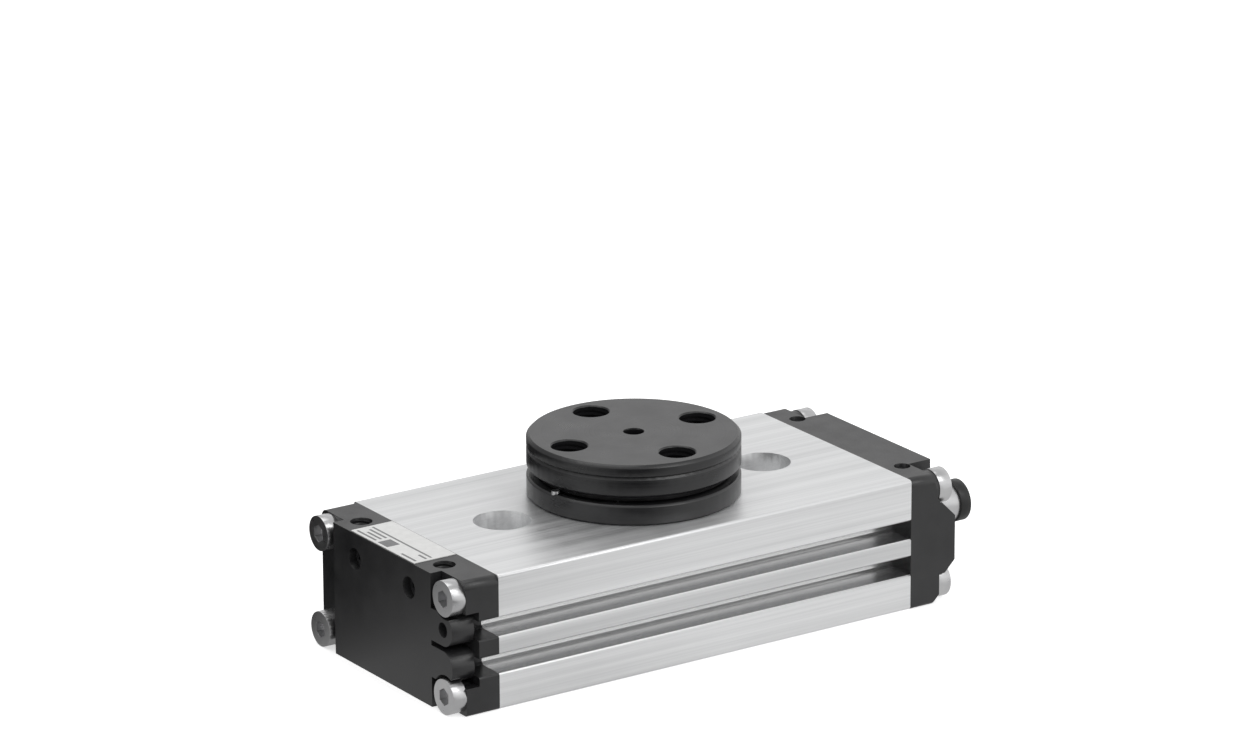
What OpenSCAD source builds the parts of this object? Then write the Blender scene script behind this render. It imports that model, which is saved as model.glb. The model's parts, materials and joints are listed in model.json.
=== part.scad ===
// Rotary pneumatic actuator: two rack pistons in an extruded housing turn a pinion and its table.
// X runs along the cylinders, Z along the table's axis, and the origin is under that axis on the base.

/* [Housing] */
// Length of the extruded housing, without its end caps
body_l = 93; // [92:0.5:96]
// Width of the housing and the end caps
body_w = 50; // [50:0.5:52]
// Height of the housing and the end caps
body_h = 26; // [26:0.5:27]
// Radius of the housing's two long edges on top
edge_r = 0.6; // [0.4:0.1:2]
// Distance of the two mounting holes from the table's axis
mount_x = 29.5; // [28:0.5:31]
// Diameter of the mounting holes
mount_d = 6.6; // [6:0.1:6.8]
// Diameter of the counterbores for the mounting screws
counterbore_d = 11; // [10:0.1:12]
// Depth of those counterbores
counterbore_depth = 6.6; // [4:0.1:7]

/* [Sensor slots] */
// Width of a sensor slot
slot_w = 3.7; // [3:0.1:4]
// Depth of a sensor slot
slot_depth = 6; // [5:0.1:6.4]
// Height of the lower sensor slot's centre
slot_z_low = 8.85; // [8.5:0.05:9]
// Height of the upper sensor slot's centre
slot_z_high = 16.05; // [15.5:0.05:16.5]

/* [End caps] */
// Thickness of the left end cap's base plate
left_base = 7.1; // [6.8:0.1:7.3]
// Height of the block that stands on the left base plate
left_block = 2.4; // [2.2:0.1:2.8]
// Thickness of the right end cap's base plate
right_base = 6.8; // [6.6:0.1:7]
// Height of the block that stands on the right base plate
right_block = 3.6; // [3.3:0.1:3.7]
// Radius of the end caps' two upper corners
cap_edge_r = 1.6; // [1:0.1:2.2]
// Half width of both blocks
block_half_w = 16.9; // [16.5:0.1:17.2]
// Distance of the cap screws from the middle plane
cap_screw_y = 21.6; // [21.4:0.1:21.8]
// Distance of the cap screws from the base and from the top face
cap_screw_edge = 3.5; // [3.4:0.1:3.7]

/* [Rotary table] */
// Diameter of the table and of the bearing cover under it
table_d = 40.5; // [40:0.1:41]
// Height of the table's top face above the base
table_top = 37.8; // [37.5:0.1:39]
// Pitch circle of the table's threaded holes
table_pcd = 29; // [28:0.5:30]
// Diameter of those holes before they are threaded
table_hole_d = 6.8; // [5:0.1:6.8]

/* [Drive] */
// Gear module
gear_m = 1; // [1:0.01:1.01]
// Cylinder bore
bore_d = 10; // [10:0.05:10.1]
// Distance of the cylinder axes from the middle plane
piston_y = 9.7; // [9.7:0.05:9.8]
// Half length of the rack pistons
piston_half_l = 32.5; // [32:0.1:32.5]

/* [Hidden] */
$fn = 96;
over = 1;          // how far cutters reach past the faces they open
near = -1;         // side factor of the near cylinder, at -Y
far = 1;           // side factor of the far cylinder, at +Y

// Housing
base_edge_r = 0.6;
lip = 0.25;        // flare of a slot's mouth
slot_corner = 0.5;
slot_zs = [slot_z_low, slot_z_high];
end_x = body_l / 2;
side_y = body_w / 2;
cyl_z = body_h / 2;
bore_r = bore_d / 2;
screw_zs = [cap_screw_edge, body_h - cap_screw_edge];
left_face = end_x + left_base + left_block;
right_face = end_x + right_base + right_block;

// M4 cap screws
m4_r = 2;
m4_head_r = 3.4;
m4_head_h = 2.8;
m4_length = 16;
pocket_r = 4.1;    // room around a screw head in an end cap
pad_r = 3.3;       // flat pad under a screw head on the right cap

// Ports
port_r = 2.1;      // tap drill of an M5 thread
port_depth = 14.6;
left_port_x = -(end_x + 4.9);
left_port_y = 14.4;
right_port_x = end_x + 3.5;
right_port_y = 17.2;
right_port_r = 1.6;
end_port_y = 9.4;
end_port_z = 21;
end_port_depth = 5.5;
gallery_r = 1;
gallery_y = 13.6;

label_half_w = 11;

// Round bosses in the near side of the left end cap
boss_r = 3.1;
boss_y = -20.9;
boss_zs = [9, 16.2];
boss_zone = [5.4, 19.8];
boss_zone_y = 17.5;
boss_length = 5.2;
needle_hole_r = 1.45;
needle_hole_depth = 4.4;

// Bearings: bore radius, outer radius, width, ball radius, race radius, ball count
upper = [10, 16, 7, 1.65, 1.75, 13];
lower = [6, 9, 4, 0.95, 1.03, 13];
upper_z = 20.4;
lower_z = 2.2;
ring_gap = 0.9;    // half gap between the rings of the upper bearing
small_ring_gap = 0.45;

// Bearing cover
cover_top = 30;
cover_bore_r = 13.6;
cover_lip_r = 12.4;
cover_screw_pcr = 17.9;
cover_screw_r = 1;
cover_head_r = 1.9;
cover_head_h = 1;
cover_screw_length = 8.5;
pin_r = 0.8;
pin_angle = 187;
pin_pcr = 19.3;

// Table
table_r = table_d / 2;
table_bottom = 31.4;
step_r = 18.4;
step_bottom = cover_top + 0.3;
hub_r = 11.3;
hub_bottom = upper_z + 7;
groove_z = table_top - 2.5;
table_hole_depth = 7;
centre_r = 2;
bolt_r = 2.5;
bolt_top = 32;
dowel_r = 1.5;
dowel_pcr = 6.6;

// Bottom cover
bottom_recess = 1.4;
bottom_cover_r = 14.5;
bottom_screw_pcr = 11.7;
bottom_screw_length = 4.6;

// Gear pair: 16 teeth against two racks
teeth = 16;
pressure_angle = 20;
backlash = 0.08;
pitch_r = gear_m * teeth / 2;
base_r = pitch_r * cos(pressure_angle);
tip_r = pitch_r + gear_m;
root_r = pitch_r - 1.25 * gear_m;
rack_pitch = PI * gear_m;
rack_tip = 0.85 * gear_m;    // short enough to stay on the pinion's involute
rack_root = 1.25 * gear_m;
spaces_each_way = 5;
gear_z = [7.9, 18.3];

// Shaft
shaft_bottom = 1.5;
collar_r = 11.2;
collar_bottom = upper_z - 0.75;
chamber_r = tip_r + 0.4;

// Pistons
piston_r = bore_r - 0.08;
seal_r = bore_r - 0.05;
flat_half_l = 20.4;
seal_core_r = 3.7;
guide_core_r = 4.3;
seal_x = [29.2, 31];
guide_x = [22.2, 25.2];
magnet_x = [26.3, 28.3];

// End stops
stop_z = 13.4;
stop_r = 2.5;
stop_hole_r = stop_r + 0.07;
stroke = PI / 2 * pitch_r;
buffer_x = piston_half_l + stroke + 0.06;
buffer_t = 1.8;
washer_t = 1;
nut_t = 4;
nut_af = 8;
collar_x = right_face + washer_t + nut_t + 0.5;
stop_collar_r = 3.8;
knob_x = 66.9;
knob_end = 69.2;
knob_r = 4.1;

// Bar from x0 to x1 along X, with its axis at y and z
module bar_x(x0, x1, y, z, r) {
    translate([x0, y, z]) rotate([0, 90, 0]) cylinder(r = r, h = x1 - x0);
}

// Extrudes an outline drawn in Y and Z from x0 to x1
module along_x(x0, x1) {
    translate([x0, 0, 0]) rotate([90, 0, 90]) linear_extrude(x1 - x0) children();
}

module ring(z0, z1, r_in, r_out) {
    translate([0, 0, z0]) difference() {
        cylinder(r = r_out, h = z1 - z0);
        translate([0, 0, -over]) cylinder(r = r_in, h = z1 - z0 + 2 * over);
    }
}

module ring_x(x0, x1, y, z, r_in, r_out) {
    difference() {
        bar_x(x0, x1, y, z, r_out);
        bar_x(x0 - over, x1 + over, y, z, r_in);
    }
}

module around(count, radius, start = 0) {
    for (i = [0:count - 1])
        rotate([0, 0, start + i * 360 / count]) translate([radius, 0, 0]) children();
}

// Outline of the housing or a cap: rounded corners on top, nearly sharp ones at the base
module outline(top_r) {
    inner_y = side_y - top_r;
    for (s = [-1, 1]) {
        translate([s * inner_y, body_h - top_r]) circle(r = top_r);
        translate([s * (side_y - base_edge_r), base_edge_r]) circle(r = base_edge_r);
    }
    translate([-inner_y, body_h / 2]) square([2 * inner_y, body_h / 2]);
    translate([-side_y, base_edge_r]) square([body_w, body_h - top_r - base_edge_r]);
    translate([-side_y + base_edge_r, 0]) square([body_w - 2 * base_edge_r, base_edge_r * 2]);
}

// Flat-bottomed slots that open to +Y, or to -Y for side -1
module slot_outline(side) {
    r = slot_w / 2;
    floor_y = side_y - slot_depth;
    for (z = slot_zs) polygon([
        [side * floor_y, z - r + slot_corner],
        [side * (floor_y + slot_corner), z - r],
        [side * (side_y - lip), z - r],
        [side * side_y, z - r - lip],
        [side * (side_y + over), z - r - lip],
        [side * (side_y + over), z + r + lip],
        [side * side_y, z + r + lip],
        [side * (side_y - lip), z + r],
        [side * (floor_y + slot_corner), z + r],
        [side * floor_y, z + r - slot_corner]
    ]);
}

module mounting_holes() {
    for (x = [-mount_x, mount_x]) translate([x, 0, 0]) {
        translate([0, 0, -over]) cylinder(d = mount_d, h = body_h + 2 * over);
        translate([0, 0, body_h - counterbore_depth]) cylinder(d = counterbore_d, h = counterbore_depth + over);
    }
}

// Stepped bore for the shaft and its bearings
module shaft_bore() {
    translate([0, 0, -over]) cylinder(r = bottom_cover_r + 0.05, h = bottom_recess + over);
    translate([0, 0, -over]) cylinder(r = lower[1], h = lower_z + lower[2] + over);
    translate([0, 0, 0]) cylinder(r = lower[1] - 1.2, h = body_h);
    translate([0, 0, gear_z[0] - 0.5]) cylinder(r = chamber_r, h = body_h);
    translate([0, 0, collar_bottom - 0.25]) cylinder(r = collar_r + 0.7, h = body_h);
    translate([0, 0, upper_z]) cylinder(r = upper[1], h = body_h);
}

module housing() {
    color([0.78, 0.79, 0.8]) difference() {
        along_x(-end_x, end_x) difference() {
            outline(edge_r);
            slot_outline(-1);
            slot_outline(1);
        }
        mounting_holes();
        shaft_bore();
        for (s = [near, far]) bar_x(-end_x - over, end_x + over, s * piston_y, cyl_z, bore_r);
        for (s = [-1, 1], side = [near, far], z = screw_zs)
            bar_x(s * (end_x - 5.5) - 6.5, s * (end_x - 5.5) + 6.5, side * cap_screw_y, z, m4_r);
        around(4, cover_screw_pcr, 45) translate([0, 0, body_h - 5.5]) cylinder(r = cover_screw_r, h = 6);
        around(3, bottom_screw_pcr, 90) translate([0, 0, -over]) cylinder(r = cover_screw_r, h = 6);
    }
}

// Base plate and block of either cap, drawn at the right-hand end
module cap_blank(base, face) {
    along_x(end_x, end_x + base) outline(cap_edge_r);
    cap_block(base, face);
}

module cap_block(base, face) {
    along_x(end_x + base - 3, face)
        translate([-block_half_w, 0]) square([2 * block_half_w, body_h]);
}

// Holes and pockets of the four cap screws, at the right-hand end
module cap_screw_holes(base, face) {
    for (side = [near, far], z = screw_zs) {
        bar_x(end_x - over, face + over, side * cap_screw_y, z, m4_r + 0.15);
        bar_x(end_x + base, face + over, side * cap_screw_y, z, pocket_r);
    }
}

// Grooves for the O-rings around the cylinder bores, at the right-hand end
module o_ring_grooves() {
    for (s = [near, far]) ring_x(end_x - over, end_x + 1.3, s * piston_y, cyl_z, 5.5, 6.9);
}

// Outline of a round boss that runs into the side of the block
module boss_outline(z) {
    translate([boss_y, z]) circle(r = boss_r);
    translate([boss_y, z - boss_r]) square([-block_half_w + over - boss_y, 2 * boss_r]);
}

module left_end_cap() {
    color([0.09, 0.09, 0.1]) difference() {
        union() {
            difference() {
                mirror([1, 0, 0]) cap_blank(left_base, left_face);
                translate([-left_face - over, -side_y - over, boss_zone[0]])
                    cube([boss_length + over, side_y + over - boss_zone_y, boss_zone[1] - boss_zone[0]]);
            }
            for (z = boss_zs) along_x(-left_face, -left_face + boss_length + 0.5) boss_outline(z);
        }
        mirror([1, 0, 0]) cap_screw_holes(left_base, left_face);
        mirror([1, 0, 0]) o_ring_grooves();
        for (side = [near, far]) along_x(-left_face + boss_length - 0.4, -end_x + over) slot_outline(side);
        for (s = [near, far]) {
            translate([left_port_x, s * left_port_y, body_h - port_depth]) cylinder(r = port_r, h = port_depth + over);
            bar_x(left_port_x, -end_x + over, s * gallery_y, cyl_z, gallery_r);
            bar_x(-left_face - over, -left_face + end_port_depth, s * end_port_y, end_port_z, port_r);
        }
        bar_x(-left_face - over, -left_face + needle_hole_depth, boss_y, boss_zs[1], needle_hole_r);
    }
}

// Strip at mid-height beside the block, with shoulders that slope down to the base plate
module side_strip(side) {
    width = side_y - block_half_w + over;
    y0 = side > 0 ? block_half_w - over : -side_y;
    low = 8.1;
    high = 17;
    plane = end_x + right_base;
    translate([0, y0 + width, 0]) rotate([90, 0, 0]) linear_extrude(width) polygon([
        [plane - over, low - right_block - over],
        [plane, low - right_block],
        [right_face, low],
        [right_face, high],
        [plane, high + right_block],
        [plane - over, high + right_block + over]
    ]);
}

// Extrudes an outline drawn in X and Z over the whole width
module across() {
    translate([0, side_y + over, 0]) rotate([90, 0, 0]) linear_extrude(body_w + 2 * over) children();
}

// Right base plate, leaning back towards its top, with a chamfered toe and flat pads for the screws
module right_plate() {
    plane = end_x + right_base;
    toe = 1.7;
    lean = 1.6;
    lean_z = 19.5;
    difference() {
        along_x(end_x, plane) outline(cap_edge_r);
        across() polygon([
            [plane, lean_z], [plane + over, lean_z], [plane + over, body_h + over],
            [plane - lean * (body_h + over - lean_z) / (body_h - lean_z), body_h + over]
        ]);
        across() polygon([
            [plane - toe, -over], [plane - toe, 0], [plane, toe], [plane + over, toe], [plane + over, -over]
        ]);
    }
    for (side = [near, far], z = screw_zs) bar_x(plane - 3, plane, side * cap_screw_y, z, pad_r);
}

module right_end_cap() {
    color([0.09, 0.09, 0.1]) difference() {
        union() {
            right_plate();
            cap_block(right_base, right_face);
            side_strip(near);
            side_strip(far);
        }
        cap_screw_holes(right_base, right_face);
        o_ring_grooves();
        for (s = [near, far]) {
            bar_x(end_x - over, right_face + over, s * piston_y, stop_z, stop_hole_r);
            translate([right_port_x, s * right_port_y, body_h - port_depth])
                cylinder(r = right_port_r, h = port_depth + over);
            bar_x(end_x - over, right_port_x, s * gallery_y, cyl_z, gallery_r);
            translate([right_port_x, s * gallery_y, cyl_z]) rotate([-s * 90, 0, 0]) cylinder(r = gallery_r, h = 4);
        }
    }
}

// Four low-head socket screws at the right-hand end
module cap_screws(seat) {
    for (side = [near, far], z = screw_zs) difference() {
        union() {
            bar_x(seat - m4_length, seat, side * cap_screw_y, z, m4_r);
            bar_x(seat, seat + m4_head_h, side * cap_screw_y, z, m4_head_r);
        }
        translate([seat + m4_head_h - 1.6, side * cap_screw_y, z])
            rotate([0, 90, 0]) cylinder(r = 3 / sqrt(3), h = 1.6 + over, $fn = 6);
    }
}

module right_cap_screws() {
    color([0.8, 0.8, 0.8]) cap_screws(end_x + right_base);
}

module left_cap_screws() {
    color([0.8, 0.8, 0.8]) mirror([1, 0, 0]) cap_screws(end_x + left_base);
}

module o_rings() {
    section_r = 0.65;
    for (s = [near, far]) translate([end_x + section_r, s * piston_y, cyl_z]) rotate([0, 90, 0])
        rotate_extrude() translate([6.2, 0]) circle(r = section_r);
}

module right_cap_o_rings() {
    color([0.05, 0.05, 0.05]) o_rings();
}

module left_cap_o_rings() {
    color([0.05, 0.05, 0.05]) mirror([1, 0, 0]) o_rings();
}

module label() {
    color([0.92, 0.92, 0.9]) translate([-left_face + 0.25, -label_half_w, body_h])
        cube([left_base + left_block - 0.5, 2 * label_half_w, 0.12]);
}

module bearing_cover() {
    edge = 0.4;
    color([0.1, 0.1, 0.11]) difference() {
        rotate_extrude() polygon([
            [upper[1] + 0.03, body_h], [table_r - edge, body_h], [table_r, body_h + edge],
            [table_r, cover_top - edge], [table_r - edge, cover_top], [cover_lip_r, cover_top],
            [cover_lip_r, cover_top - 0.5], [cover_bore_r, cover_top - 0.5],
            [cover_bore_r, hub_bottom], [upper[1] + 0.03, hub_bottom]
        ]);
        around(4, cover_screw_pcr, 45) {
            translate([0, 0, body_h - over]) cylinder(r = cover_screw_r + 0.1, h = 6);
            translate([0, 0, cover_top - cover_head_h]) cylinder(r1 = cover_screw_r, r2 = cover_head_r, h = cover_head_h);
            translate([0, 0, cover_top]) cylinder(r = cover_head_r, h = over);
        }
        rotate([0, 0, pin_angle]) translate([pin_pcr, 0, cover_top - 2.5]) cylinder(r = pin_r, h = 3);
    }
}

// Countersunk screw with its head's top at the origin, pointing down
module countersunk_screw(length, socket) {
    difference() {
        union() {
            translate([0, 0, -cover_head_h]) cylinder(r1 = cover_screw_r, r2 = cover_head_r, h = cover_head_h);
            translate([0, 0, -length]) cylinder(r = cover_screw_r, h = length);
        }
        translate([0, 0, -0.8]) cylinder(r = socket, h = 1, $fn = 6);
    }
}

module bearing_cover_screws() {
    color([0.6, 0.6, 0.62]) around(4, cover_screw_pcr, 45)
        translate([0, 0, cover_top]) countersunk_screw(cover_screw_length, 0.75);
}

module index_pin() {
    color([0.85, 0.85, 0.85]) rotate([0, 0, pin_angle]) translate([pin_pcr, 0, cover_top - 2.5])
        cylinder(r = pin_r, h = 3);
}

module shaft_seal() {
    color([0.05, 0.05, 0.05]) rotate_extrude() polygon([
        [hub_r + 0.5, hub_bottom + 0.2], [cover_bore_r, hub_bottom + 0.2],
        [cover_bore_r, cover_top - 0.5], [hub_r + 0.12, cover_top - 0.5],
        [hub_r + 0.12, cover_top - 0.9], [hub_r + 0.9, cover_top - 1.2], [hub_r + 0.9, hub_bottom + 0.9]
    ]);
}

module outer_ring(bearing, z0, gap) {
    pitch = (bearing[0] + bearing[1]) / 2;
    color([0.75, 0.75, 0.77]) difference() {
        ring(z0, z0 + bearing[2], pitch + gap, bearing[1]);
        translate([0, 0, z0 + bearing[2] / 2]) rotate_extrude() translate([pitch, 0]) circle(r = bearing[4]);
    }
}

module inner_ring(bearing, z0, gap) {
    pitch = (bearing[0] + bearing[1]) / 2;
    color([0.75, 0.75, 0.77]) difference() {
        ring(z0, z0 + bearing[2], bearing[0], pitch - gap);
        translate([0, 0, z0 + bearing[2] / 2]) rotate_extrude() translate([pitch, 0]) circle(r = bearing[4]);
    }
}

module balls(bearing, z0) {
    color([0.85, 0.85, 0.87]) around(bearing[5], (bearing[0] + bearing[1]) / 2)
        translate([0, 0, z0 + bearing[2] / 2]) sphere(r = bearing[3], $fn = 32);
}

module cage(bearing, z0, gap) {
    pitch = (bearing[0] + bearing[1]) / 2;
    half_t = gap - 0.15;
    middle = z0 + bearing[2] / 2;
    half_h = bearing[3] * 1.35;
    color([0.6, 0.45, 0.2]) difference() {
        ring(middle - half_h, middle + half_h, pitch - half_t, pitch + half_t);
        around(bearing[5], pitch) translate([0, 0, middle]) sphere(r = bearing[4] + 0.02, $fn = 32);
    }
}

module upper_bearing_outer_ring() {
    outer_ring(upper, upper_z, ring_gap);
}

module upper_bearing_inner_ring() {
    inner_ring(upper, upper_z, ring_gap);
}

module upper_bearing_balls() {
    balls(upper, upper_z);
}

module upper_bearing_cage() {
    cage(upper, upper_z, ring_gap);
}

module lower_bearing_outer_ring() {
    outer_ring(lower, lower_z, small_ring_gap);
}

module lower_bearing_inner_ring() {
    inner_ring(lower, lower_z, small_ring_gap);
}

module lower_bearing_balls() {
    balls(lower, lower_z);
}

module lower_bearing_cage() {
    cage(lower, lower_z, small_ring_gap);
}

module bottom_cover() {
    color([0.1, 0.1, 0.11]) difference() {
        translate([0, 0, 0.1]) cylinder(r = bottom_cover_r, h = bottom_recess - 0.2);
        around(3, bottom_screw_pcr, 90) {
            translate([0, 0, -over]) cylinder(r = cover_screw_r + 0.1, h = 4);
            translate([0, 0, 0.1]) cylinder(r1 = cover_head_r, r2 = cover_screw_r, h = cover_head_h);
        }
    }
}

module bottom_cover_screws() {
    color([0.6, 0.6, 0.62]) around(3, bottom_screw_pcr, 90)
        translate([0, 0, 0.1]) rotate([180, 0, 0]) countersunk_screw(bottom_screw_length, 0.75);
}

// Set-screw plug with its socket's mouth at the origin, pointing down
module plug(r, socket) {
    difference() {
        translate([0, 0, -3.5]) cylinder(r = r, h = 3.5);
        translate([0, 0, -1.8]) cylinder(r = socket / sqrt(3), h = 3, $fn = 6);
    }
}

module left_port_plugs() {
    color([0.12, 0.12, 0.12]) for (s = [near, far])
        translate([-left_face + 1.6, s * end_port_y, end_port_z]) rotate([0, -90, 0]) plug(port_r, 2.5);
}

module right_port_plugs() {
    color([0.12, 0.12, 0.12]) for (s = [near, far])
        translate([right_port_x, s * right_port_y, body_h - 0.8]) plug(right_port_r, 1.5);
}

module throttle_needle() {
    tip = -left_face + needle_hole_depth;
    color([0.15, 0.15, 0.15]) difference() {
        bar_x(-left_face + 1.5, tip, boss_y, boss_zs[1], needle_hole_r);
        translate([-left_face, boss_y - needle_hole_r, boss_zs[1] - 0.2]) cube([2.1, 2 * needle_hole_r, 0.4]);
    }
}

module lock_nuts() {
    x0 = right_face + washer_t;
    color([0.8, 0.8, 0.8]) for (s = [near, far]) difference() {
        translate([x0, s * piston_y, stop_z]) rotate([0, 90, 0]) cylinder(r = nut_af / sqrt(3), h = nut_t, $fn = 6);
        bar_x(x0 - over, x0 + nut_t + over, s * piston_y, stop_z, stop_hole_r);
    }
}

module seal_washers() {
    color([0.3, 0.3, 0.32]) for (s = [near, far])
        ring_x(right_face, right_face + washer_t, s * piston_y, stop_z, stop_r + 0.1, 4.6);
}

module rotary_table() {
    edge = 0.6;
    groove = 0.4;
    hole_r = table_hole_d / 2;
    color([0.13, 0.13, 0.14]) difference() {
        rotate_extrude() polygon([
            [0, hub_bottom], [hub_r, hub_bottom], [hub_r, step_bottom], [step_r, step_bottom],
            [step_r, table_bottom], [table_r - edge, table_bottom], [table_r, table_bottom + edge],
            [table_r, groove_z - groove], [table_r - groove, groove_z], [table_r, groove_z + groove],
            [table_r, table_top - edge], [table_r - edge, table_top], [0, table_top]
        ]);
        around(4, table_pcd / 2) {
            translate([0, 0, table_top - table_hole_depth]) cylinder(r = hole_r, h = table_hole_depth + over);
            translate([0, 0, table_top - 0.25]) cylinder(r1 = hole_r, r2 = hole_r + 0.3, h = 0.3);
        }
        translate([0, 0, hub_bottom - over]) cylinder(r = centre_r, h = table_top);
        translate([0, 0, hub_bottom - over]) cylinder(r = bolt_r, h = bolt_top + 0.8 - hub_bottom + over);
        around(2, dowel_pcr, 45) translate([0, 0, hub_bottom - over]) cylinder(r = dowel_r, h = 4.5);
    }
}

function involute(r, t) = [r * (cos(t) + t * PI / 180 * sin(t)), r * (sin(t) - t * PI / 180 * cos(t))];
function turn(p, a) = [p[0] * cos(a) - p[1] * sin(a), p[0] * sin(a) + p[1] * cos(a)];
function roll(r) = acos(base_r / r);
function spread(a) = tan(a) * 180 / PI - a;
// Half of a tooth's angle where its flank meets the base circle
flank_turn = (rack_pitch / 2 - backlash) / (2 * pitch_r) * 180 / PI + spread(pressure_angle);
flank_steps = 6;
// Flank from the base circle to the tip circle, on the tooth's clockwise side
flank = [for (i = [0:flank_steps])
    turn(involute(base_r, tan(roll(base_r + (tip_r - base_r) * i / flank_steps)) * 180 / PI), -flank_turn)];

module gear_tooth() {
    foot = root_r - 0.3;
    polygon(concat(
        [turn([foot, 0], -flank_turn)], flank,
        [for (i = [flank_steps:-1:0]) [flank[i][0], -flank[i][1]]],
        [turn([foot, 0], flank_turn)]
    ));
}

module pinion_shaft() {
    head_r = 4.4;
    color([0.55, 0.55, 0.57]) difference() {
        union() {
            translate([0, 0, shaft_bottom]) cylinder(r = lower[0], h = gear_z[0]);
            translate([0, 0, gear_z[0]]) cylinder(r = root_r, h = collar_bottom + 0.2 - gear_z[0]);
            translate([0, 0, gear_z[0]]) linear_extrude(gear_z[1] - gear_z[0])
                for (i = [0:teeth - 1]) rotate(90 + i * 360 / teeth) gear_tooth();
            translate([0, 0, collar_bottom]) cylinder(r = collar_r, h = upper_z - collar_bottom);
            translate([0, 0, upper_z - 0.1]) cylinder(r = upper[0], h = hub_bottom - upper_z - 0.1);
        }
        translate([0, 0, 0]) cylinder(r = bolt_r + 0.15, h = body_h + 4);
        translate([0, 0, 0]) cylinder(r = head_r, h = 6.6);
        around(2, dowel_pcr, 45) translate([0, 0, hub_bottom - 4.2]) cylinder(r = dowel_r, h = 6);
    }
}

module table_bolt() {
    seat = 6.6;
    color([0.75, 0.75, 0.75]) difference() {
        union() {
            translate([0, 0, seat - 4.8]) cylinder(r = 4.25, h = 4.8);
            cylinder_z = seat - 0.1;
            translate([0, 0, cylinder_z]) cylinder(r = bolt_r, h = bolt_top - cylinder_z);
        }
        translate([0, 0, 0]) cylinder(r = 4 / sqrt(3), h = 4.3, $fn = 6);
    }
}

module table_dowels() {
    color([0.75, 0.75, 0.75]) around(2, dowel_pcr, 45)
        translate([0, 0, hub_bottom - 4]) cylinder(r = dowel_r, h = 7);
}

// Space between two rack teeth, drawn at the far cylinder with the pitch line at y = 0
module rack_space() {
    half = rack_pitch / 4 + backlash / 2;
    slope = tan(pressure_angle);
    polygon([
        [-half - (rack_tip + over) * slope, -rack_tip - over],
        [-half + rack_root * slope, rack_root],
        [half - rack_root * slope, rack_root],
        [half + (rack_tip + over) * slope, -rack_tip - over]
    ]);
}

module piston_grooves(range, r) {
    ring_x(range[0], range[1], piston_y, cyl_z, r, bore_r);
}

// Rack piston of the far cylinder; the near one is its half turn about Z
module rack_piston() {
    color([0.7, 0.7, 0.72]) difference() {
        bar_x(-piston_half_l, piston_half_l, piston_y, cyl_z, piston_r);
        translate([-flat_half_l, 0, 0]) cube([2 * flat_half_l, pitch_r - rack_tip, body_h]);
        for (i = [-spaces_each_way:spaces_each_way])
            translate([i * rack_pitch, pitch_r, 0]) linear_extrude(body_h) rack_space();
        for (s = [0, 1]) mirror([s, 0, 0]) {
            piston_grooves(seal_x, seal_core_r);
            piston_grooves(guide_x, guide_core_r);
        }
        mirror([1, 0, 0]) piston_grooves(magnet_x, seal_core_r);
    }
}

module piston_seals() {
    for (s = [0, 1]) color([0.06, 0.06, 0.06]) mirror([s, 0, 0])
        ring_x(seal_x[0] + 0.1, seal_x[1] - 0.1, piston_y, cyl_z, seal_core_r, seal_r);
}

module guide_rings() {
    for (s = [0, 1]) color([0.5, 0.35, 0.2]) mirror([s, 0, 0])
        ring_x(guide_x[0] + 0.05, guide_x[1] - 0.05, piston_y, cyl_z, guide_core_r, seal_r);
}

module magnet() {
    color([0.25, 0.25, 0.27]) mirror([1, 0, 0])
        ring_x(magnet_x[0] + 0.05, magnet_x[1] - 0.05, piston_y, cyl_z, seal_core_r, piston_r - 0.05);
}

module far_rack_piston() {
    rack_piston();
}

module far_piston_seals() {
    piston_seals();
}

module far_guide_rings() {
    guide_rings();
}

module far_magnet() {
    magnet();
}

module near_rack_piston() {
    mirror([0, 1, 0]) rack_piston();
}

module near_piston_seals() {
    mirror([0, 1, 0]) piston_seals();
}

module near_guide_rings() {
    mirror([0, 1, 0]) guide_rings();
}

module near_magnet() {
    mirror([0, 1, 0]) magnet();
}

module stop_buffer(side) {
    y = side * piston_y;
    color([0.15, 0.12, 0.1]) {
        bar_x(buffer_x, buffer_x + buffer_t, y, stop_z, stop_r - 0.15);
        bar_x(buffer_x + buffer_t - 0.1, buffer_x + buffer_t + 2, y, stop_z, 1.1);
    }
}

module stop_screw(side) {
    y = side * piston_y;
    color([0.8, 0.8, 0.8]) difference() {
        union() {
            bar_x(buffer_x + buffer_t, knob_x + 0.6, y, stop_z, stop_r);
            bar_x(collar_x, knob_x, y, stop_z, stop_collar_r);
        }
        bar_x(buffer_x, buffer_x + buffer_t + 2.2, y, stop_z, 1.1);
    }
}

module stop_knob(side) {
    y = side * piston_y;
    color([0.06, 0.06, 0.06]) difference() {
        bar_x(knob_x, knob_end, y, stop_z, knob_r);
        bar_x(knob_x - over, knob_x + 0.6, y, stop_z, stop_r);
        translate([knob_end - 1.5, y, stop_z]) rotate([0, 90, 0]) cylinder(r = 3 / sqrt(3), h = 1.5 + over, $fn = 6);
    }
}

module near_stop_buffer() {
    stop_buffer(near);
}

module near_stop_screw() {
    stop_screw(near);
}

module near_stop_knob() {
    stop_knob(near);
}

module far_stop_buffer() {
    stop_buffer(far);
}

module far_stop_screw() {
    stop_screw(far);
}

module far_stop_knob() {
    stop_knob(far);
}

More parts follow.
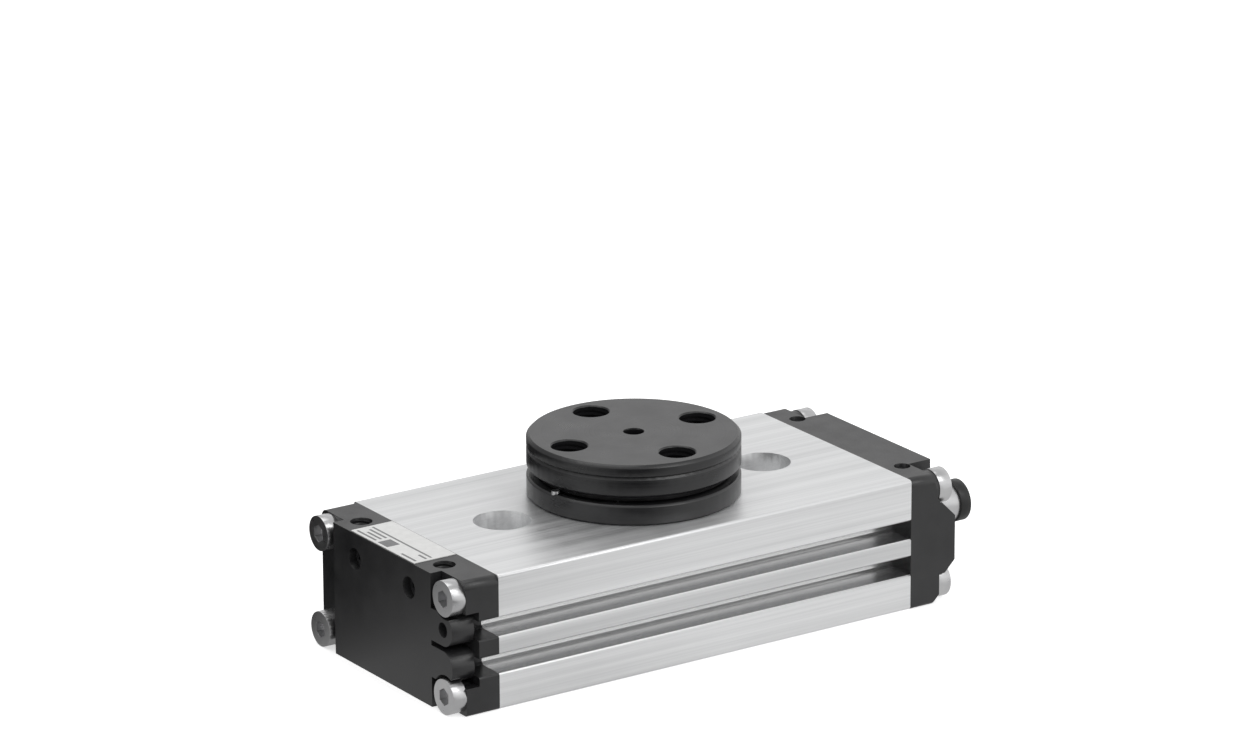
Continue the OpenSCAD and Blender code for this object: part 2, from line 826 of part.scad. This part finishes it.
housing();
left_end_cap();
right_end_cap();
left_cap_screws();
right_cap_screws();
left_cap_o_rings();
right_cap_o_rings();
label();
bearing_cover();
bearing_cover_screws();
index_pin();
shaft_seal();
upper_bearing_outer_ring();
lower_bearing_outer_ring();
bottom_cover();
bottom_cover_screws();
left_port_plugs();
right_port_plugs();
throttle_needle();
lock_nuts();
seal_washers();
rotary_table();
pinion_shaft();
table_bolt();
table_dowels();
upper_bearing_inner_ring();
lower_bearing_inner_ring();
upper_bearing_cage();
upper_bearing_balls();
lower_bearing_cage();
lower_bearing_balls();
near_rack_piston();
near_piston_seals();
near_guide_rings();
near_magnet();
far_rack_piston();
far_piston_seals();
far_guide_rings();
far_magnet();
near_stop_buffer();
near_stop_screw();
near_stop_knob();
far_stop_buffer();
far_stop_screw();
far_stop_knob();
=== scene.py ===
"""Rotary pneumatic actuator: materials, small details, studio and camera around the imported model."""
import json
import math

import bmesh
import bpy
from mathutils import Matrix, Vector


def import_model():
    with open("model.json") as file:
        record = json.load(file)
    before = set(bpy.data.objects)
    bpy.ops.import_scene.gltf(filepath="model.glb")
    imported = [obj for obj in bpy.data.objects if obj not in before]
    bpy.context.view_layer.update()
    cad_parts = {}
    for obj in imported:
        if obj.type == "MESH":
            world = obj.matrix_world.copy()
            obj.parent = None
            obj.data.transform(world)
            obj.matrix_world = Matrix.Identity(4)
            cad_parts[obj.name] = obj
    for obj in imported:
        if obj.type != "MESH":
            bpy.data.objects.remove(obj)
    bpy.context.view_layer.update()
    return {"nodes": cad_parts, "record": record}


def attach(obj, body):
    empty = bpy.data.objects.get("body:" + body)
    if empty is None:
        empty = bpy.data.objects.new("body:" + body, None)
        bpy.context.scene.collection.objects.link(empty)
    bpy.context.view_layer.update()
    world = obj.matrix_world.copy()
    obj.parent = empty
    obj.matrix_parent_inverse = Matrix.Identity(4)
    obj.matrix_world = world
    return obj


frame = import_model()
MM = 0.001
nodes = frame["nodes"]


# ---------------------------------------------------------------- node helpers
def new_material(name):
    material = bpy.data.materials.new(name)
    material.use_nodes = True
    tree = material.node_tree
    shader = tree.nodes["Principled BSDF"]
    return material, tree, shader


def add(tree, kind, **sockets):
    """A node of that kind, with values set on the named inputs."""
    made = tree.nodes.new(kind)
    for name, value in sockets.items():
        made.inputs[name.replace("_", " ")].default_value = value
    return made


def object_coords(tree, scale):
    """Object coordinates in metres, stretched by scale along X, Y and Z."""
    coords = tree.nodes.new("ShaderNodeTexCoord")
    mapping = tree.nodes.new("ShaderNodeMapping")
    mapping.inputs["Scale"].default_value = scale
    tree.links.new(coords.outputs["Object"], mapping.inputs["Vector"])
    return mapping.outputs["Vector"]


def noise(tree, scale, detail=3.0, roughness=0.55):
    """Noise over object space; scale is cycles per metre along X, Y and Z."""
    made = add(tree, "ShaderNodeTexNoise", Scale=1.0, Detail=detail, Roughness=roughness)
    tree.links.new(object_coords(tree, scale), made.inputs["Vector"])
    return made.outputs["Fac"]


def to_range(tree, value, low, high, source=(0.3, 0.7)):
    made = add(tree, "ShaderNodeMapRange", From_Min=source[0], From_Max=source[1], To_Min=low, To_Max=high)
    tree.links.new(value, made.inputs["Value"])
    return made.outputs["Result"]


def mixed_colour(tree, value, dark, light):
    made = tree.nodes.new("ShaderNodeMix")
    made.data_type = "RGBA"
    made.inputs["A"].default_value = (*dark, 1)
    made.inputs["B"].default_value = (*light, 1)
    tree.links.new(value, made.inputs["Factor"])
    return made.outputs["Result"]


def bump(tree, height, strength, distance, onto=None):
    made = add(tree, "ShaderNodeBump", Strength=strength, Distance=distance)
    tree.links.new(height, made.inputs["Height"])
    if onto is not None:
        tree.links.new(onto, made.inputs["Normal"])
    return made.outputs["Normal"]


def combine(tree, operation, a, b):
    made = tree.nodes.new("ShaderNodeMath")
    made.operation = operation
    for socket, value in zip(made.inputs, (a, b)):
        if isinstance(value, (int, float)):
            socket.default_value = value
        else:
            tree.links.new(value, socket)
    return made.outputs["Value"]


# ---------------------------------------------------------------- materials
# Where the sensor slots lie, in metres from the middle plane and above the base; the slot walls carry painted
# shade near the mouth and painted light deeper in
SLOT_FLOOR_Y = 0.0175
SLOT_MOUTH_Y = 0.0247
SLOT_LOW_Z = 0.0055
SLOT_HIGH_Z = 0.0195
SLOT_PAINTED_SHADE_Y = (0.0195, 0.0228)
SLOT_ROUGHNESS = 0.22


def drawn_aluminium():
    """Clear-anodised extrusion: streaks along the length, a faint mottle, and slots with painted shade at the
    mouth and painted light deeper in.
    """
    material, tree, shader = new_material("drawn_aluminium")
    shader.inputs["Metallic"].default_value = 0.82
    apart = tree.nodes.new("ShaderNodeSeparateXYZ")
    tree.links.new(object_coords(tree, (1, 1, 1)), apart.inputs["Vector"])
    from_middle = combine(tree, "ABSOLUTE", apart.outputs["Y"], 0.0)
    height = apart.outputs["Z"]
    in_slot = combine(tree, "MULTIPLY", combine(tree, "LESS_THAN", from_middle, SLOT_MOUTH_Y),
                      combine(tree, "GREATER_THAN", from_middle, SLOT_FLOOR_Y))
    in_slot = combine(tree, "MULTIPLY", in_slot, combine(tree, "LESS_THAN", height, SLOT_HIGH_Z))
    in_slot = combine(tree, "MULTIPLY", in_slot, combine(tree, "GREATER_THAN", height, SLOT_LOW_Z))
    # Painted shade and light in the slots: colour dark near the mouth, bright deeper in
    slot_inward_fade = to_range(tree, from_middle, 1.0, 0.0, SLOT_PAINTED_SHADE_Y)
    shader.inputs["Anisotropic"].default_value = 0.55
    broad = noise(tree, (3, 260, 260), 2.0)
    fine = noise(tree, (14, 2600, 2600), 4.0, 0.7)
    mottle = noise(tree, (160, 160, 160), 3.0)
    streak = combine(tree, "ADD", combine(tree, "MULTIPLY", broad, 0.6),
                     combine(tree, "MULTIPLY", fine, 0.4))
    colour = mixed_colour(tree, to_range(tree, streak, 0.0, 1.0, (0.36, 0.64)),
                          (0.70, 0.705, 0.71), (0.90, 0.905, 0.91))
    slot_painted_shade = mixed_colour(tree, slot_inward_fade, (0.40, 0.405, 0.41), (0.97, 0.97, 0.97))
    both = tree.nodes.new("ShaderNodeMix")
    both.data_type = "RGBA"
    tree.links.new(in_slot, both.inputs["Factor"])
    tree.links.new(colour, both.inputs["A"])
    tree.links.new(slot_painted_shade, both.inputs["B"])
    tree.links.new(both.outputs["Result"], shader.inputs["Base Color"])
    rough = combine(tree, "ADD", to_range(tree, streak, 0.30, 0.50),
                    to_range(tree, mottle, -0.03, 0.03))
    finish = tree.nodes.new("ShaderNodeMix")
    tree.links.new(in_slot, finish.inputs["Factor"])
    tree.links.new(rough, finish.inputs["A"])
    finish.inputs["B"].default_value = SLOT_ROUGHNESS
    tree.links.new(finish.outputs["Result"], shader.inputs["Roughness"])
    normal = bump(tree, fine, 0.35, 0.00002)
    tree.links.new(bump(tree, broad, 0.25, 0.00006, normal), shader.inputs["Normal"])
    tangent = tree.nodes.new("ShaderNodeTangent")
    tangent.direction_type = "RADIAL"
    tangent.axis = "X"
    tree.links.new(tangent.outputs["Tangent"], shader.inputs["Tangent"])
    return material


BLACK_SPECULAR = 0.66
BLASTED_GRAIN = 5200


def satin_black(name, dark, light, rough):
    """Black anodising: fine blasted grain and slight cloudiness."""
    material, tree, shader = new_material(name)
    cloud = noise(tree, (220, 220, 220), 4.0)
    grainy = noise(tree, (BLASTED_GRAIN, BLASTED_GRAIN, BLASTED_GRAIN), 2.0, 0.6)
    base = mixed_colour(tree, to_range(tree, cloud, 0.0, 1.0), dark, light)
    tree.links.new(base, shader.inputs["Base Color"])
    tree.links.new(combine(tree, "ADD", to_range(tree, cloud, rough - 0.05, rough + 0.05),
                           to_range(tree, grainy, -0.04, 0.04)), shader.inputs["Roughness"])
    tree.links.new(bump(tree, grainy, 0.25, 0.00002), shader.inputs["Normal"])
    shader.inputs["Specular IOR Level"].default_value = BLACK_SPECULAR
    return material


# Centres and reach of the painted shade in the table's holes, made by switching off gloss there, in metres
TABLE_HOLES = ((0.0145, 0), (0, 0.0145), (-0.0145, 0), (0, -0.0145))
HOLE_REACH = 0.0035
CENTRE_HOLE_REACH = 0.0021
TABLE_FACE_Z = 0.0375


def turned_black():
    """Dark anodised turned part: faint concentric tool rings around the axis, and painted shade in its holes
    made by switching off their gloss.
    """
    material, tree, shader = new_material("turned_black")
    position = object_coords(tree, (1, 1, 1))
    apart = tree.nodes.new("ShaderNodeSeparateXYZ")
    tree.links.new(position, apart.inputs["Vector"])
    square_x = combine(tree, "MULTIPLY", apart.outputs["X"], apart.outputs["X"])
    square_y = combine(tree, "MULTIPLY", apart.outputs["Y"], apart.outputs["Y"])
    radius = combine(tree, "SQRT", combine(tree, "ADD", square_x, square_y), 0.0)
    place = tree.nodes.new("ShaderNodeCombineXYZ")
    tree.links.new(radius, place.inputs["X"])
    tree.links.new(apart.outputs["Z"], place.inputs["Y"])
    rings = add(tree, "ShaderNodeTexNoise", Scale=3200.0, Detail=3.0, Roughness=0.6)
    tree.links.new(place.outputs["Vector"], rings.inputs["Vector"])
    cloud = noise(tree, (180, 180, 180), 3.0)
    grainy = noise(tree, (4200, 4200, 4200), 2.0)
    mixed = combine(tree, "ADD", combine(tree, "MULTIPLY", rings.outputs["Fac"], 0.5),
                    combine(tree, "MULTIPLY", cloud, 0.5))
    tree.links.new(mixed_colour(tree, to_range(tree, mixed, 0.0, 1.0, (0.4, 0.6)), (0.009, 0.009, 0.010),
                                (0.016, 0.016, 0.017)), shader.inputs["Base Color"])
    tree.links.new(to_range(tree, mixed, 0.27, 0.36, (0.4, 0.6)), shader.inputs["Roughness"])
    normal = bump(tree, rings.outputs["Fac"], 0.12, 0.00002)
    tree.links.new(bump(tree, grainy, 0.12, 0.00001, normal), shader.inputs["Normal"])
    # Painted shade: gloss is switched off inside the holes below the top face
    specular_painted_hole_shade = BLACK_SPECULAR
    for (x, y), hole in [(centre, HOLE_REACH) for centre in TABLE_HOLES] + [((0, 0), CENTRE_HOLE_REACH)]:
        apart_x = combine(tree, "SUBTRACT", apart.outputs["X"], x)
        apart_y = combine(tree, "SUBTRACT", apart.outputs["Y"], y)
        away = combine(tree, "SQRT", combine(tree, "ADD", combine(tree, "MULTIPLY", apart_x, apart_x),
                                             combine(tree, "MULTIPLY", apart_y, apart_y)), 0.0)
        specular_painted_hole_shade = combine(tree, "MULTIPLY", specular_painted_hole_shade, combine(tree, "GREATER_THAN", away, hole))
    below = combine(tree, "LESS_THAN", apart.outputs["Z"], TABLE_FACE_Z)
    open_face = combine(tree, "SUBTRACT", 1.0, below)
    tree.links.new(combine(tree, "MAXIMUM", specular_painted_hole_shade, combine(tree, "MULTIPLY", open_face, BLACK_SPECULAR)),
                   shader.inputs["Specular IOR Level"])
    return material


def metal(name, dark, light, rough, scale=900, metallic=1.0):
    """Plated or ground steel with soft tonal variation and fine scratches."""
    material, tree, shader = new_material(name)
    shader.inputs["Metallic"].default_value = metallic
    cloud = noise(tree, (scale, scale, scale), 4.0)
    scratch = noise(tree, (scale * 9, scale * 2, scale * 9), 2.0)
    tree.links.new(mixed_colour(tree, to_range(tree, cloud, 0.0, 1.0), dark, light), shader.inputs["Base Color"])
    tree.links.new(combine(tree, "ADD", to_range(tree, cloud, rough - 0.03, rough + 0.04),
                           to_range(tree, scratch, -0.02, 0.02)), shader.inputs["Roughness"])
    tree.links.new(bump(tree, scratch, 0.05, 0.000006), shader.inputs["Normal"])
    return material


PIT_SCALE = 1500
CLOUD_SCALE = PIT_SCALE / 6


def soft(name, dark, light, rough):
    """Rubber or plastic: matt, finely pitted."""
    material, tree, shader = new_material(name)
    cloud = noise(tree, (CLOUD_SCALE, CLOUD_SCALE, CLOUD_SCALE), 3.0)
    pits = noise(tree, (PIT_SCALE, PIT_SCALE, PIT_SCALE), 3.0)
    tree.links.new(mixed_colour(tree, to_range(tree, cloud, 0.0, 1.0), dark, light), shader.inputs["Base Color"])
    tree.links.new(to_range(tree, pits, rough - 0.06, rough + 0.06), shader.inputs["Roughness"])
    tree.links.new(bump(tree, pits, 0.2, 0.00002), shader.inputs["Normal"])
    return material


def printed_film():
    """White film with a blank grey frame line, one bar and a few dashes instead of any lettering."""
    material, tree, shader = new_material("printed_film")
    apart = tree.nodes.new("ShaderNodeSeparateXYZ")
    tree.links.new(object_coords(tree, (1000, 1000, 1000)), apart.inputs["Vector"])

    def inside(axis, low, high):
        above = combine(tree, "GREATER_THAN", apart.outputs[axis], low)
        return combine(tree, "MULTIPLY", above, combine(tree, "LESS_THAN", apart.outputs[axis], high))

    def patch(x0, x1, y0, y1):
        return combine(tree, "MULTIPLY", inside("X", x0, x1), inside("Y", y0, y1))

    ink = patch(-51.75, -51.3, -10.2, 10.2)
    for x0, x1, y0, y1 in ((-55.2, -52.4, -0.8, 2.6), (-55.1, -54.6, 3.6, 10.2), (-54.0, -53.5, 3.6, 8.4),
                           (-52.9, -52.4, 3.6, 9.4), (-55.1, -54.6, -10.2, -5.2), (-52.9, -52.4, -10.2, -7.6)):
        ink = combine(tree, "MAXIMUM", ink, patch(x0, x1, y0, y1))
    cloud = noise(tree, (700, 700, 700), 3.0)
    paper = mixed_colour(tree, to_range(tree, cloud, 0.0, 1.0), (0.72, 0.72, 0.71), (0.80, 0.80, 0.79))
    printed = tree.nodes.new("ShaderNodeMix")
    printed.data_type = "RGBA"
    printed.inputs["B"].default_value = (0.16, 0.16, 0.165, 1)
    tree.links.new(paper, printed.inputs["A"])
    tree.links.new(ink, printed.inputs["Factor"])
    tree.links.new(printed.outputs["Result"], shader.inputs["Base Color"])
    tree.links.new(to_range(tree, cloud, 0.3, 0.42), shader.inputs["Roughness"])
    return material


MATERIALS = {
    "housing_aluminium": drawn_aluminium(),
    "cap_black": satin_black("cap_black", (0.011, 0.011, 0.012), (0.020, 0.020, 0.021), 0.38),
    "table_black": turned_black(),
    "screw_steel": metal("bright_zinc", (0.56, 0.56, 0.57), (0.64, 0.64, 0.64), 0.30, scale=300),
    "black_steel": metal("black_oxide", (0.035, 0.035, 0.037), (0.07, 0.07, 0.075), 0.38, metallic=0.6),
    "bearing_steel": metal("polished_steel", (0.66, 0.66, 0.68), (0.8, 0.8, 0.82), 0.14),
    "gear_steel": metal("ground_steel", (0.42, 0.42, 0.44), (0.6, 0.6, 0.62), 0.28),
    "cage_brass": metal("cage_brass", (0.55, 0.38, 0.14), (0.75, 0.56, 0.26), 0.3),
    "seal_rubber": soft("seal_rubber", (0.018, 0.018, 0.018), (0.035, 0.035, 0.035), 0.62),
    "washer_rubber": soft("washer_rubber", (0.06, 0.06, 0.065), (0.1, 0.1, 0.105), 0.5),
    "buffer_elastomer": soft("buffer_elastomer", (0.1, 0.08, 0.06), (0.16, 0.13, 0.1), 0.5),
    "guide_plastic": soft("guide_plastic", (0.25, 0.16, 0.09), (0.36, 0.25, 0.15), 0.45),
    "magnet_grey": soft("magnet_grey", (0.09, 0.09, 0.095), (0.15, 0.15, 0.155), 0.5),
    "knob_black": soft("knob_black", (0.008, 0.008, 0.008), (0.015, 0.015, 0.016), 0.42),
    "label_white": printed_film(),
}


# ---------------------------------------------------------------- the CAD parts
SHARP_ANGLE = math.radians(32)
EDGE_BREAK = {"housing": 0.12, "left_end_cap": 0.25, "right_end_cap": 0.25, "lock_nuts": 0.2,
              "left_cap_screws": 0.3, "right_cap_screws": 0.3, "rotary_table": 0.25, "bearing_cover": 0.2,
              "near_stop_knob": 0.3, "far_stop_knob": 0.3, "index_pin": 0.2}
OTHER_EDGE_BREAK = 0.08
WELD_DISTANCE = 0.002
SKIP_BEVEL = {"label", "upper_bearing_balls", "lower_bearing_balls"}


def dress_cad_nodes():
    slots = {entry["node"]: entry["material_slot"] for entry in frame["record"]["subparts"]}
    for name, part in nodes.items():
        material = MATERIALS[slots[name]]
        for socket in part.material_slots:
            socket.material = material
        if not part.material_slots:
            part.data.materials.append(material)
        if name in SKIP_BEVEL:
            continue
        weld = part.modifiers.new("weld", "WELD")
        weld.merge_threshold = WELD_DISTANCE * MM
        bevel = part.modifiers.new("edge_break", "BEVEL")
        bevel.width = EDGE_BREAK.get(name, OTHER_EDGE_BREAK) * MM
        bevel.segments = 2
        bevel.limit_method = "ANGLE"
        bevel.angle_limit = SHARP_ANGLE
        bevel.harden_normals = True
        bevel.use_clamp_overlap = True


dress_cad_nodes()


# ---------------------------------------------------------------- threads
TURN_STEPS = 40
PITCH_STEPS = 6
WALL_GAP = 0.015
SLEEVE_SKIN = 0.05
TABLE_THREAD = {"top": 37.4, "depth": 6.3, "wall": 3.4, "pitch": 1.0, "tooth": 0.25}
PORT_THREAD = {"top": 25.7, "depth": 6.0, "wall": 2.1, "pitch": 0.8, "tooth": 0.2}


def thread_sleeve(name, centre, body, slot, top, depth, wall, pitch, tooth):
    """Closed sleeve that lines an upright hole with a thread; wall is the hole's radius, all in mm."""
    rows = int(depth / pitch) * PITCH_STEPS
    outer = wall - WALL_GAP
    verts = []
    for row in range(rows + 1):
        for step in range(TURN_STEPS):
            phase = (row / PITCH_STEPS + step / TURN_STEPS) % 1.0
            crest = 1.0 - abs(2.0 * phase - 1.0)
            fade = min(1.0, row / PITCH_STEPS, (rows - row) / PITCH_STEPS)
            radius = outer - SLEEVE_SKIN - tooth * crest * fade
            angle = 2.0 * math.pi * step / TURN_STEPS
            verts.append((centre[0] + radius * math.cos(angle), centre[1] + radius * math.sin(angle),
                          top - row * pitch / PITCH_STEPS))
    for height in (top, top - rows * pitch / PITCH_STEPS):
        for step in range(TURN_STEPS):
            angle = 2.0 * math.pi * step / TURN_STEPS
            verts.append((centre[0] + outer * math.cos(angle), centre[1] + outer * math.sin(angle), height))
    upper = (rows + 1) * TURN_STEPS
    lower = upper + TURN_STEPS
    faces = []
    for step in range(TURN_STEPS):
        after = (step + 1) % TURN_STEPS
        for row in range(rows):
            a, b = row * TURN_STEPS, (row + 1) * TURN_STEPS
            faces.append((a + step, a + after, b + after, b + step))
        last = rows * TURN_STEPS
        faces.append((upper + step, upper + after, after, step))
        faces.append((last + step, last + after, lower + after, lower + step))
        faces.append((lower + step, lower + after, upper + after, upper + step))
    mesh = bpy.data.meshes.new(name)
    mesh.from_pydata([(x * MM, y * MM, z * MM) for x, y, z in verts], [], faces)
    edit = bmesh.new()
    edit.from_mesh(mesh)
    bmesh.ops.recalc_face_normals(edit, faces=edit.faces)
    edit.to_mesh(mesh)
    edit.free()
    mesh.materials.append(MATERIALS[slot])
    piece = bpy.data.objects.new(name, mesh)
    bpy.context.scene.collection.objects.link(piece)
    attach(piece, body)


def threads():
    table_holes = {"right": (14.5, 0), "far": (0, 14.5), "left": (-14.5, 0), "near": (0, -14.5)}
    for place, centre in table_holes.items():
        thread_sleeve("table_thread_" + place, centre, "rotor", "table_black", **TABLE_THREAD)
    for place, centre in {"near": (-51.4, -14.4), "far": (-51.4, 14.4)}.items():
        thread_sleeve("left_port_thread_" + place, centre, "housing", "cap_black", **PORT_THREAD)


threads()


# ---------------------------------------------------------------- studio
# Headings in the floor plane, and how many degrees around them each zone is full and gone
FRONT_RIGHT = (0.62, -0.78)
TOWARDS_LENS = (-0.56, -0.83)
BACK_LEFT = (-0.50, 0.87)
RIGHT_SPREAD = (25, 75)
LENS_SPREAD = (14, 44)
LEFT_SPREAD = (15, 52)
# Brightness of the zones and of the set
BRIGHT_RIGHT = 0.13
DARK_LENS = 0.56
DARK_LEFT = 0.62
FLOOR_LEVEL = 0.54
WORLD_LEVEL = 0.88
OVERHEAD_LEVEL = 0.6
DARKEST = 0.02
FLOOR_GLOW = 0.55
LENS_FLAG_FROM = (0.085, 0.12)
OVERHEAD_RISE = (0.45, 0.9)
FLOOR_HALF = 6.0


def sector(tree, apart, direction, inner, outer):
    """1 within inner degrees of a heading in the floor plane, fading to 0 at outer degrees."""
    along = combine(tree, "ADD", combine(tree, "MULTIPLY", apart.outputs["X"], direction[0]),
                    combine(tree, "MULTIPLY", apart.outputs["Y"], direction[1]))
    return to_range(tree, along, 0.0, 1.0, (math.cos(math.radians(outer)), math.cos(math.radians(inner))))


def surroundings(tree, vector, base, lens_from=None):
    """Brightness around the set: bright at the front right, dark at the back left and by the lens."""
    flat = tree.nodes.new("ShaderNodeVectorMath")
    flat.operation = "MULTIPLY"
    flat.inputs[1].default_value = (1, 1, 0)
    tree.links.new(vector, flat.inputs[0])
    unit = tree.nodes.new("ShaderNodeVectorMath")
    unit.operation = "NORMALIZE"
    tree.links.new(flat.outputs["Vector"], unit.inputs[0])
    apart = tree.nodes.new("ShaderNodeSeparateXYZ")
    tree.links.new(unit.outputs["Vector"], apart.inputs["Vector"])
    dark_left = combine(tree, "MULTIPLY", sector(tree, apart, BACK_LEFT, *LEFT_SPREAD), -DARK_LEFT)
    dark_lens = combine(tree, "MULTIPLY", sector(tree, apart, TOWARDS_LENS, *LENS_SPREAD), -DARK_LENS)
    if lens_from is not None:
        length = tree.nodes.new("ShaderNodeVectorMath")
        length.operation = "LENGTH"
        tree.links.new(flat.outputs["Vector"], length.inputs[0])
        dark_lens = combine(tree, "MULTIPLY", dark_lens,
                            to_range(tree, length.outputs["Value"], 0.0, 1.0, lens_from))
    bright = combine(tree, "MULTIPLY", sector(tree, apart, FRONT_RIGHT, *RIGHT_SPREAD), BRIGHT_RIGHT)
    level = combine(tree, "ADD", combine(tree, "ADD", dark_left, dark_lens),
                    combine(tree, "ADD", bright, base))
    return combine(tree, "MAXIMUM", level, DARKEST)


def stage_floor():
    material, tree, shader = new_material("studio_floor")
    output = tree.nodes["Material Output"]
    path = tree.nodes.new("ShaderNodeLightPath")
    matt = add(tree, "ShaderNodeBsdfDiffuse", Color=(0.95, 0.95, 0.95, 1))
    glow = add(tree, "ShaderNodeEmission", Color=(1, 1, 1, 1), Strength=FLOOR_GLOW)
    seen = tree.nodes.new("ShaderNodeAddShader")
    tree.links.new(matt.outputs[0], seen.inputs[0])
    tree.links.new(glow.outputs[0], seen.inputs[1])
    reflected = tree.nodes.new("ShaderNodeEmission")
    brightness = surroundings(tree, object_coords(tree, (1, 1, 1)), FLOOR_LEVEL, LENS_FLAG_FROM)
    tree.links.new(brightness, reflected.inputs["Strength"])
    choice = tree.nodes.new("ShaderNodeMixShader")
    tree.links.new(path.outputs["Is Camera Ray"], choice.inputs[0])
    tree.links.new(reflected.outputs[0], choice.inputs[1])
    tree.links.new(seen.outputs[0], choice.inputs[2])
    tree.links.new(choice.outputs[0], output.inputs["Surface"])
    tree.nodes.remove(shader)
    mesh = bpy.data.meshes.new("studio_floor")
    half = FLOOR_HALF
    corners = [(-half, -half, 0), (half, -half, 0), (half, half, 0), (-half, half, 0)]
    mesh.from_pydata(corners, [], [(0, 1, 2, 3)])
    mesh.materials.append(material)
    floor = bpy.data.objects.new("studio_floor", mesh)
    bpy.context.scene.collection.objects.link(floor)


def area_light(name, place, aim, size, power):
    data = bpy.data.lights.new(name, "AREA")
    data.shape = "RECTANGLE"
    data.size, data.size_y = size
    data.energy = power
    light = bpy.data.objects.new(name, data)
    light.location = place
    light.rotation_euler = (Vector(aim) - Vector(place)).to_track_quat("-Z", "Y").to_euler()
    bpy.context.scene.collection.objects.link(light)


def world():
    made = bpy.data.worlds.new("studio")
    made.use_nodes = True
    bpy.context.scene.world = made
    tree = made.node_tree
    background = tree.nodes["Background"]
    background.inputs["Color"].default_value = (1, 1, 1, 1)
    coords = tree.nodes.new("ShaderNodeTexCoord")
    level = surroundings(tree, coords.outputs["Generated"], WORLD_LEVEL)
    apart = tree.nodes.new("ShaderNodeSeparateXYZ")
    tree.links.new(coords.outputs["Generated"], apart.inputs["Vector"])
    overhead = to_range(tree, apart.outputs["Z"], 0.0, 1.0, OVERHEAD_RISE)
    mix = tree.nodes.new("ShaderNodeMix")
    tree.links.new(overhead, mix.inputs["Factor"])
    tree.links.new(level, mix.inputs["A"])
    mix.inputs["B"].default_value = OVERHEAD_LEVEL
    path = tree.nodes.new("ShaderNodeLightPath")
    seen = tree.nodes.new("ShaderNodeMix")
    tree.links.new(path.outputs["Is Camera Ray"], seen.inputs["Factor"])
    tree.links.new(mix.outputs["Result"], seen.inputs["A"])
    seen.inputs["B"].default_value = 1.0
    tree.links.new(seen.outputs["Result"], background.inputs["Strength"])


stage_floor()
world()
area_light("key", (0.25, -0.75, 0.80), (0, 0, 0.02), (0.5, 0.5), 1.8)
area_light("top", (-0.15, 0.2, 0.9), (0, 0, 0.02), (0.7, 0.7), 2)


# ---------------------------------------------------------------- camera
# Angles in radians, distances in metres, lens and sensor in millimetres
AZIMUTH = 0.590632
ELEVATION = 0.315714
ROLL = -0.004647
DISTANCE = 1.206621
OFFSET_RIGHT = -0.001789
OFFSET_UP = 0.046964
LENS = 183.24
SENSOR_WIDTH = 36
NEAREST_SEEN = 0.05


def camera():
    back = Vector((-math.sin(AZIMUTH) * math.cos(ELEVATION), -math.cos(AZIMUTH) * math.cos(ELEVATION),
                   math.sin(ELEVATION)))
    level = Vector((math.cos(AZIMUTH), -math.sin(AZIMUTH), 0))
    upright = back.cross(level)
    right = level * math.cos(ROLL) + upright * math.sin(ROLL)
    up = upright * math.cos(ROLL) - level * math.sin(ROLL)
    place = back * DISTANCE + right * OFFSET_RIGHT + up * OFFSET_UP
    data = bpy.data.cameras.new("camera")
    data.lens = LENS
    data.sensor_width = SENSOR_WIDTH
    data.clip_start = NEAREST_SEEN
    made = bpy.data.objects.new("camera", data)
    axes = Matrix((right, up, back)).transposed().to_4x4()
    made.matrix_world = Matrix.Translation(place) @ axes
    bpy.context.scene.collection.objects.link(made)
    bpy.context.scene.camera = made


camera()
bpy.context.scene.view_settings.view_transform = "Standard"
